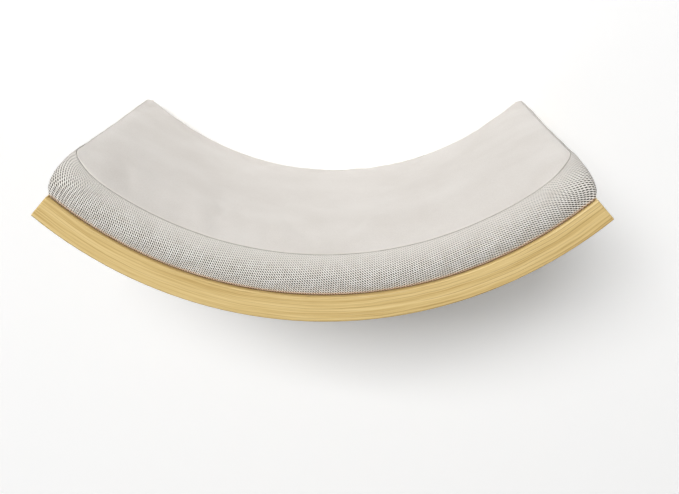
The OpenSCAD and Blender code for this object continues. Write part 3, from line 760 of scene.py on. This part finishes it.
def coverForm(c):  # the closed cover: base sheet, rings of boxing and top sheet
    form = {}
    baseEdges, topEdges = edgesAt(c, 0), edgesAt(c, 1)
    n, m = len(baseEdges[0]), len(baseEdges[1])
    base, top = gridOf(*baseEdges).reshape(-1, 2), gridOf(*topEdges).reshape(-1, 2)
    rise = 1 - np.clip(insetOf(top, ringOf(*topEdges)) / c["crownRun"], 0, 1)
    topHeight = c["seamRise"] + c["crownRise"] * (1 - rise ** c["crownRound"])
    shares = np.arange(1, c["rows"]) / c["rows"]
    rings = [ringOf(*edgesAt(c, t)) for t in shares]
    border = gridRing(n, m)
    points = [bent(c, *base.T, -droopAt(c, base[:, 1]))]
    for ring, t in zip(rings, shares):
        points.append(bent(c, *ring.T, c["seamRise"] * t - droopAt(c, ring[:, 1]) * (1 - t) ** 2))
    points += [bent(c, *top.T, topHeight)]
    form["points"] = np.concatenate(points)
    first = n * m
    rows = [border] + [first + k * len(border) + np.arange(len(border)) for k in range(len(shares))]
    form["topFirst"] = first + len(shares) * len(border)
    form["rows"] = rows + [form["topFirst"] + border]
    form["grid"] = (n, m)
    form["flat"] = {"base": base, "top": top}
    s, d = ringOf(*baseEdges).T
    form["plan"] = [ringOf(*baseEdges)] + rings + [ringOf(*topEdges)]
    form["zipColumns"] = np.flatnonzero((np.abs(s) < zipHalf - 1e-6) & (d < (c["front"] + c["rear"]) / 2))
    faces = [gridFaces(n, m)[:, ::-1], form["topFirst"] + gridFaces(n, m)]
    faces += [rowFaces(a, b, True) for a, b in zip(form["rows"], form["rows"][1:])]
    form["faces"] = np.concatenate(faces)
    return form


def pointNormals(points, faces):
    a, b, c, d = (points[faces[:, k]] for k in range(4))
    flat = np.cross(c - a, d - b)
    normals = np.zeros_like(points)
    for k in range(4):
        np.add.at(normals, faces[:, k], flat)
    return normals / np.linalg.norm(normals, axis=1)[:, None]


filling = {
    "pressure": 1.2,
    "frames": 20,
    "quality": 6,
    "mass": 0.2,
    "stretch": 14,
    "shear": 5,
    "bend": 0.4,
    "spare": -0.006,  # the cloth is cut a little larger than the form, so it can pucker
    "cap": 0.004,  # how far a point may move
    "seamHold": 0.8,
}


def fillCover(form, f):  # the cover swells between its seams, held at the base and at the zip
    piece = meshPiece("coverForm", form["points"], form["faces"])
    hold = piece.vertex_groups.new(name="hold")
    hold.add([int(k) for k in range(form["rows"][1][0])], 1.0, "REPLACE")
    hold.add([int(row[k]) for row in form["rows"] for k in form["zipColumns"]], 1.0, "REPLACE")
    seam = np.setdiff1d(np.arange(len(form["rows"][0])), form["zipColumns"])
    hold.add([int(k) for k in form["rows"][-1][seam]], f["seamHold"], "REPLACE")
    cloth = piece.modifiers.new("fill", "CLOTH").settings
    cloth.quality, cloth.mass = f["quality"], f["mass"]
    cloth.tension_stiffness = cloth.compression_stiffness = f["stretch"]
    cloth.shear_stiffness, cloth.bending_stiffness = f["shear"], f["bend"]
    cloth.use_pressure, cloth.uniform_pressure_force = True, f["pressure"]
    cloth.shrink_min = f["spare"]
    cloth.vertex_group_mass = "hold"
    cloth.effector_weights.gravity = 0
    for k in range(1, f["frames"] + 1):
        bpy.context.scene.frame_set(k)
    swollen = piece.evaluated_get(bpy.context.evaluated_depsgraph_get())
    moved = readPoints(swollen) - form["points"]
    bpy.context.scene.frame_set(1)
    bpy.data.objects.remove(piece)
    reach = np.linalg.norm(moved, axis=1)[:, None]
    print("cover filled: moved", round(float(reach.max()) * 1000, 2), "mm at most")
    return form["points"] + moved * np.tanh(reach / f["cap"]) * f["cap"] / np.maximum(reach, 1e-9)


form = coverForm(cushion)
coverPoints = fillCover(form, filling)
print("cover laid out:", len(form["points"]), "points")


def towards(a, b, distance):
    way = b - a
    return a + way * (distance / np.linalg.norm(way, axis=1))[:, None]


def seamRoll(c, border, inner, normals):  # rows that turn a cloth down into a seam
    roll = towards(border, inner, c["rollIn"])
    browIn, browDown = c["brow"]
    brow = towards(border, inner, c["rollIn"] * browIn) - normals * c["grooveDepth"] * browDown
    return roll, brow, border - normals * c["grooveDepth"]


def finishCloth(piece, marks, levels, thickness):
    for name, values in marks.items():
        attribute = piece.data.attributes.new(name, "FLOAT", "POINT")
        attribute.data.foreach_set("value", np.asarray(values, float))
    pickOnly(piece)
    if levels:
        finer = piece.modifiers.new("finer", "SUBSURF")
        finer.levels = finer.render_levels = levels
        finer.boundary_smooth = "PRESERVE_CORNERS"
    thick = piece.modifiers.new("thick", "SOLIDIFY")
    thick.thickness = thickness
    thick.offset = -1
    applyModifiers(piece)
    smoothShade(piece, 60)


def topPanel(c, form, points):
    n, m = form["grid"]
    normals = pointNormals(points, form["faces"])
    top = points[form["topFirst"]:].copy()
    border = gridRing(n, m)
    i, j = np.divmod(border, m)
    inner = np.clip(i, 1, n - 2) * m + np.clip(j, 1, m - 2)
    roll, brow, groove = seamRoll(c, top[border], top[inner], normals[form["topFirst"] + border])
    flat = form["flat"]["top"]
    top[border] = roll
    count = len(border)
    rows = [border, n * m + np.arange(count), n * m + count + np.arange(count)]
    faces = np.concatenate([gridFaces(n, m)] + [rowFaces(b, a, True) for a, b in zip(rows, rows[1:])])
    uv = np.r_[flat, flat[border], flat[border]]
    piece = meshPiece("cushionTop", np.r_[top, brow, groove], faces, uv)
    # painted shade in the seam's groove, on the last two rows
    fold = np.r_[np.zeros(n * m), np.repeat(c["topFold"], count)]
    finishCloth(piece, {"fold": fold}, 1, c["cloth"])
    dress(piece, panelCloth, "cushion", "panel_cloth", "top_panel")


def unrolled(c, s, d):  # place along the boxing of a point in plan, from the middle of the front
    r = c["mapCorner"] * c["topCornerR"]
    side, near, far = c["half"] - r, c["front"] - r, c["rear"] + r
    past, turn = np.abs(s) - side, pi / 2 * r
    end = side + turn + near - d
    front = np.where(past > 0, side + r * np.arctan2(past, d - near), np.abs(s))
    rear = side + turn + near - far + np.where(past > 0, r * np.arctan2(far - d, past), turn - past)
    return np.sign(s) * np.where(d > near, front, np.where(d < far, rear, end))


def frontBoxing(c, form, points):
    normals = pointNormals(points, form["faces"])
    count = len(form["rows"][0])
    start = form["zipColumns"].max()
    columns = (start + 1 + np.arange(count - len(form["zipColumns"]))) % count
    rows = [points[row[columns]] for row in form["rows"]]
    roll, brow, groove = seamRoll(c, rows[-1], rows[-2], normals[form["rows"][-1][columns]])
    rows[-1:] = [roll, brow, groove]
    grid = np.stack(rows)
    u = np.stack([unrolled(c, *plan[columns].T) for plan in form["plan"] + form["plan"][-1:] * 2])
    v = np.vstack([0 * u[:1], np.cumsum(np.linalg.norm(np.diff(grid, axis=0), axis=2), axis=0)])
    uv = np.stack([u, v], -1).reshape(-1, 2)
    k = np.arange(grid.shape[0] * grid.shape[1]).reshape(grid.shape[:2])
    faces = np.concatenate([rowFaces(a, b, False) for a, b in zip(k, k[1:])])
    # painted shade in the seam's groove on the last two rows, and height share up the boxing
    fold, rise = np.zeros(grid.shape[:2]), np.ones(grid.shape[:2])
    fold[-2:] = np.reshape(c["boxingFold"], (2, 1))
    rise[:-2] = np.linspace(0, c["lastRise"], len(grid) - 2)[:, None]
    piece = meshPiece("cushionBoxing", grid.reshape(-1, 3), faces, uv)
    finishCloth(piece, {"fold": fold.ravel(), "rise": rise.ravel()}, 1, c["cloth"])
    dress(piece, boxingCloth, "cushion", "boxing_cloth", "front_boxing")


def basePanel(c, form, points):
    n, m = form["grid"]
    piece = meshPiece("cushionBase", points[:n * m], gridFaces(n, m)[:, ::-1], form["flat"]["base"])
    finishCloth(piece, {}, 0, c["cloth"])
    dress(piece, boxingCloth, "cushion", "boxing_cloth", "base_panel")


topPanel(cushion, form, coverPoints)
frontBoxing(cushion, form, coverPoints)
basePanel(cushion, form, coverPoints)
print("cushion cover made")


# what is inside the cover

foam = {
    "gap": 0.0024,  # from the outside of the cover to the foam
    "light": rgb(242, 233, 203),
    "dark": rgb(214, 200, 160),
    "cell": 900.0,
    "cellShare": 0.6,  # in the tone
    "cloud": 25.0,
    "cloudShare": 0.5,
    "relief": 0.0004,
}


def foamFinish(f):
    finish, tree, shader = startFinish("foam", Roughness=0.95, Specular_IOR_Level=0.1)
    coords = objectCoords(tree)
    cells = addNode(tree, "ShaderNodeTexVoronoi", Vector=coords, Scale=f["cell"]).outputs["Distance"]
    cloud = calc(tree, "MULTIPLY", noise(tree, coords, f["cloud"]), f["cloudShare"])
    tone = calc(tree, "MULTIPLY_ADD", cells, f["cellShare"], cloud)
    plug(tree, shader, Base_Color=ramp(tree, tone, (0.3, f["dark"]), (0.7, f["light"])))
    addBump(tree, shader, cells, f["relief"], 0.8)
    return finish


def foamBlock(f, form, points):
    inner = points - pointNormals(points, form["faces"]) * f["gap"]
    inner[:, 1] = np.minimum(inner[:, 1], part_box("foam_core")[1].y)
    piece = meshPiece("foamBlock", inner, form["faces"])
    smoothShade(piece, 60)
    dress(piece, foamFinish(f), "cushion", "foam", "foam_core")


foamBlock(foam, form, coverPoints)
print("foam made")


# back of the cover and its zip

rearStrip = {"width": 0.01125, "soften": 0.0004, "steps": 72}
zipTape = {
    "width": 0.012,
    "soften": 0.0002,
    "steps": 72,
    "light": rgb(231, 226, 216),
    "dark": rgb(205, 198, 186),
    "rib": 0.0009,  # spacing of the tape's ribs
}
zipCoil = {
    "wire": 0.00032,  # radius of the wire
    "outer": 0.0011,  # radius of the coil
    "pitch": 0.00135,
    "sides": 6,
    "steps": 10,  # of a turn
    "light": rgb(238, 234, 226),
    "dark": rgb(212, 206, 196),
}
stitch = {
    "length": 0.0026,
    "pitch": 0.0033,
    "width": 0.00045,
    "inset": 0.0017,  # from the opening's edge
    "tip": 0.3,  # share of the length past which it dips into the cloth
    "light": rgb(240, 236, 228),
    "dark": rgb(206, 199, 188),
}
ribbed = {"nap": 1400.0, "crossing": 0.7, "depth": 0.3, "relief": 0.0002}
satin = {"cloud": 700.0, "fibre": 4200.0, "relief": 0.00008, "rough": (0.6, 0.4)}


def arcSpan(name):  # a node's largest radius round the axis, its half angle there, and its two depths
    low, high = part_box(name)
    outer = arcZ - low.z
    return outer, asin(high.x / outer), -high.y, -low.y


def selectWhere(piece, kind, test):
    bpy.ops.mesh.select_mode(type=kind)
    bpy.ops.mesh.select_all(action="DESELECT")
    mesh = bmesh.from_edit_mesh(piece.data)
    for item in {"VERT": mesh.verts, "EDGE": mesh.edges, "FACE": mesh.faces}[kind]:
        if test(item):
            item.select_set(True)
    mesh.select_flush_mode()
    bmesh.update_edit_mesh(piece.data)


def runsAlong(edge, axis):
    way = edge.verts[1].co - edge.verts[0].co
    return abs(way[axis]) > 0.99 * way.length


def bar(name, size, centre, cuts, soften):  # a straight bar, cut along X, with softened edges
    deselectAll()
    bpy.ops.mesh.primitive_cube_add(size=1, location=centre)
    piece = settle(name, size)
    setMode("EDIT")
    selectWhere(piece, "EDGE", lambda edge: runsAlong(edge, 0))
    bpy.ops.mesh.subdivide(number_cuts=cuts - 1)
    setMode("OBJECT")
    edges = piece.modifiers.new("edges", "BEVEL")
    edges.width, edges.segments, edges.limit_method = soften, 2, "ANGLE"
    applyModifiers(piece)
    return piece


def fineRib(name, f, r, depthwise=False):  # ribs across the arc, or across the depth
    finish, tree, shader = startFinish(name, Roughness=0.85, Specular_IOR_Level=0.2, Sheen_Weight=0.1)
    along, radius, depth = arcCoords(tree)
    main, other = (depth, along) if depthwise else (along, radius)
    rib = wave(tree, "SINE", main, tau / f["rib"])
    cross = wave(tree, "SINE", other, tau / f["rib"] / r["crossing"])
    nap = noise(tree, objectCoords(tree), r["nap"], 2.0)
    tone = calc(tree, "MULTIPLY_ADD", calc(tree, "MULTIPLY", rib, cross), r["depth"], nap)
    plug(tree, shader, Base_Color=ramp(tree, tone, (0.2, f["dark"]), (0.8, f["light"])))
    addBump(tree, shader, tone, r["relief"], 0.7)
    return finish


def satinThread(name, f, s):
    finish, tree, shader = startFinish(name, Specular_IOR_Level=0.35)
    coords = objectCoords(tree)
    tone = noise(tree, coords, s["cloud"], 3.0)
    colour = ramp(tree, tone, (0.3, f["dark"]), (0.7, f["light"]))
    plug(tree, shader, Base_Color=colour, Roughness=mapped(tree, tone, 0.3, 0.7, *s["rough"]))
    addBump(tree, shader, noise(tree, coords, s["fibre"], 2.0), s["relief"], 0.6)
    return finish


zipTapeCloth = fineRib("zipTapeCloth", zipTape, ribbed)
coilNylon = satinThread("coilNylon", zipCoil, satin)
sewingThread = satinThread("sewingThread", stitch, satin)


def arcBar(name, node, b):  # a straight bar for a node that follows the arc, its size and its lower edge
    outer, angle, near, far = arcSpan(node)
    low = baseR - outer
    size = (2 * angle * baseR, far - near, b["width"])
    centre = (0, -(near + far) / 2, low + b["width"] / 2)
    return bar(name, size, centre, b["steps"], b["soften"]), size, low


def rearBoxing(name, node, r):
    piece, size, low = arcBar(name, node, r)
    layCloth(piece, readPoints(piece)[:, [0, 2]])
    bendRound(piece, baseR)
    smoothShade(piece)
    dress(piece, boxingCloth, "cushion", "boxing_cloth", node)
    return low


def tapeOf(name, node, t):
    piece = arcBar(name, node, t)[0]
    bendRound(piece, baseR)
    smoothShade(piece)
    dress(piece, zipTapeCloth, "cushion", "zip_tape", node)


def coilOf(name, node, c):
    outer, angle, near, far = arcSpan(node)
    rise, depth = baseR - outer + c["outer"], (near + far) / 2
    turns = int(2 * angle * baseR / c["pitch"]) - 1
    start = -turns * c["pitch"] / 2
    deselectAll()
    centre = (0, 0, c["outer"] - c["wire"])
    bpy.ops.mesh.primitive_circle_add(vertices=c["sides"], radius=c["wire"],
                                      location=centre, rotation=(pi / 2, 0, 0))
    piece = settle(name)
    wind = piece.modifiers.new("wind", "SCREW")
    wind.axis, wind.screw_offset, wind.iterations = "X", c["pitch"], turns
    wind.steps = wind.render_steps = c["steps"]
    applyModifiers(piece)
    setMode("EDIT")
    bpy.ops.mesh.select_all(action="SELECT")
    bpy.ops.mesh.fill_holes(sides=c["sides"])
    bpy.ops.mesh.select_all(action="SELECT")
    bpy.ops.mesh.normals_make_consistent(inside=False)
    setMode("OBJECT")
    writePoints(piece, readPoints(piece) + (start, -depth, rise))
    bendRound(piece, baseR)
    smoothShade(piece, 80)
    dress(piece, coilNylon, "cushion", "zip_coil", node)


def stitchRow(name, rise, s):  # a row of sewing along the zip's opening
    near = arcSpan("rear_boxing_upper")[2]
    count = int(2 * zipHalf / s["pitch"]) - 1
    deselectAll()
    bpy.ops.mesh.primitive_uv_sphere_add(segments=6, ring_count=6, radius=1, rotation=(0, pi / 2, 0))
    piece = settle(name, (s["width"] / 2, s["width"] / 2, s["length"] / 2))
    setMode("EDIT")
    selectWhere(piece, "VERT", lambda v: abs(v.co.x) > s["tip"] * s["length"])
    bpy.ops.transform.translate(value=(0, -s["width"] / 2, 0))
    setMode("OBJECT")
    repeat(piece, 0, s["pitch"], count)
    applyModifiers(piece)
    writePoints(piece, readPoints(piece) + (-(count - 1) * s["pitch"] / 2, -near, rise))
    bendRound(piece, baseR)
    smoothShade(piece, 80)
    dress(piece, sewingThread, "cushion", "boxing_cloth")


upperLow = rearBoxing("cushionRearUpper", "rear_boxing_upper", rearStrip)
lowerLow = rearBoxing("cushionRearLower", "rear_boxing_lower", rearStrip)
tapeOf("zipTapeUpper", "zip_tape_upper", zipTape)
tapeOf("zipTapeLower", "zip_tape_lower", zipTape)
coilOf("zipCoilUpper", "zip_coil_upper", zipCoil)
coilOf("zipCoilLower", "zip_coil_lower", zipCoil)
stitchRow("zipStitchesUpper", upperLow + stitch["inset"], stitch)
stitchRow("zipStitchesLower", lowerLow + rearStrip["width"] - stitch["inset"], stitch)
print("zip made")


# hook and loop strips

strips = {
    "width": 0.025,
    "selvedge": 0.0018,  # plain edge of the tape
    "tape": 0.0005,  # thickness of the tape under the hooks or the pile
    "soften": 0.0001,
    "across": 10,  # cuts across a strip
    "apart": 5,  # degrees, the least between two strips
    "hookPitch": (0.0021, 0.0026),
    "hookWidth": 0.00035,
    "stem": 0.6,  # straight share of a hook's height
    "crook": ((0.8, 0.38), (1.1, -0.2)),  # its two bends, sideways in hook widths and up in hook heights
    "hookTip": 0.7,  # size of its tip
    "bare": 0.002,  # tape left free of hooks, both sides together
    "pileCell": 0.0012,
    "pileRough": 0.00025,
    "pileEdge": 0.9,  # how high up the tape the pile starts
    "pileSeed": 5,
    "light": rgb(226, 221, 212),
    "dark": rgb(196, 189, 178),
    "rib": 0.0011,
}


# the angles of the strips in a node, their least and largest radius, and their two depths
def stripPlaces(node, apart):
    low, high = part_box(node)
    points = readPoints(nodes[node])
    angle = np.sort(np.degrees(np.arctan2(points[:, 0], arcZ - points[:, 2])))
    radius = np.hypot(points[:, 0], arcZ - points[:, 2])
    groups = np.split(angle, np.flatnonzero(np.diff(angle) > apart) + 1)
    return [(g[0] + g[-1]) / 2 for g in groups], radius.min(), radius.max(), -high.y, -low.y


def stripBase(name, s, length):
    return bar(name, (s["width"], length, s["tape"]), (0, 0, s["tape"] / 2), s["across"], s["soften"])


def hookField(s, length, height):  # one hook, repeated over a strip
    wide, tall = s["hookWidth"], height - s["tape"]
    stem = tall * s["stem"]
    deselectAll()
    bpy.ops.mesh.primitive_cube_add(size=1, location=(0, 0, s["tape"] + stem / 2))
    piece = settle("hook", (wide, wide, stem))
    setMode("EDIT")
    selectWhere(piece, "FACE", lambda face: face.normal.z > 0.9)
    for side, up in s["crook"]:
        bpy.ops.mesh.extrude_region_move(TRANSFORM_OT_translate={"value": (wide * side, 0, tall * up)})
    bpy.ops.transform.resize(value=(s["hookTip"],) * 3)
    setMode("OBJECT")
    field = [side - 2 * s["selvedge"] - s["bare"] for side in (s["width"], length)]
    for axis, pitch in enumerate(s["hookPitch"]):
        repeat(piece, axis, pitch, int(field[axis] / pitch))
    applyModifiers(piece)
    points = readPoints(piece)
    writePoints(piece, points - [*((points.max(0) + points.min(0)) / 2)[:2], 0])
    return piece


def pileField(s, length, height):  # uneven looped pile over a strip
    deselectAll()
    size = (s["width"] - 2 * s["selvedge"], length - 2 * s["selvedge"])
    cells = [int(side / s["pileCell"]) for side in size]
    bpy.ops.mesh.primitive_grid_add(x_subdivisions=cells[0], y_subdivisions=cells[1], size=1)
    piece = settle("pile", (*size, 1))
    points = readPoints(piece)
    uneven = np.random.default_rng(s["pileSeed"]).random(len(points))
    points[:, 2] = height - s["pileRough"] * uneven
    edge = (np.abs(points[:, 0]) > size[0] / 2 - 1e-5) | (np.abs(points[:, 1]) > size[1] / 2 - 1e-5)
    points[edge, 2] = s["tape"] * s["pileEdge"]
    writePoints(piece, points)
    return piece

def joined(name, pieces):
    deselectAll()
    for piece in pieces:
        piece.select_set(True)
    bpy.context.view_layer.objects.active = pieces[0]
    bpy.ops.object.join()
    pieces[0].name = name
    return pieces[0]


def copyOf(piece):
    made = piece.copy()
    made.data = piece.data.copy()
    bpy.context.scene.collection.objects.link(made)
    return made


def stripSet(name, node, s, finish, body, slotName, inwards, field):
    angles, inner, outer, near, far = stripPlaces(node, s["apart"])
    length, height = far - near, outer - inner
    made = joined("strip", [stripBase("strip", s, length), field(s, length, height)])
    row = [made] + [copyOf(made) for _ in angles[1:]]
    for piece, angle in zip(row, angles):
        points = readPoints(piece)
        if inwards:  # the tape lies on the board and the pile points at the axis
            points[:, 2] += baseR - outer
        else:
            points[:, 2] = baseR - inner - points[:, 2]
        points[:, 0] += radians(angle) * baseR
        points[:, 1] -= (near + far) / 2
        writePoints(piece, points)
        bendRound(piece, baseR)
        if not inwards:
            piece.data.flip_normals()
    piece = joined(name, row)
    smoothShade(piece, 50)
    dress(piece, finish, body, slotName, node)


stripCloth = fineRib("stripCloth", strips, ribbed, depthwise=True)
stripSet("hookStrips", "hook_strips", strips, stripCloth, "shelf", "hook_tape", True, hookField)
stripSet("loopStrips", "loop_strips", strips, stripCloth, "cushion", "loop_tape", False, pileField)
print("strips made")
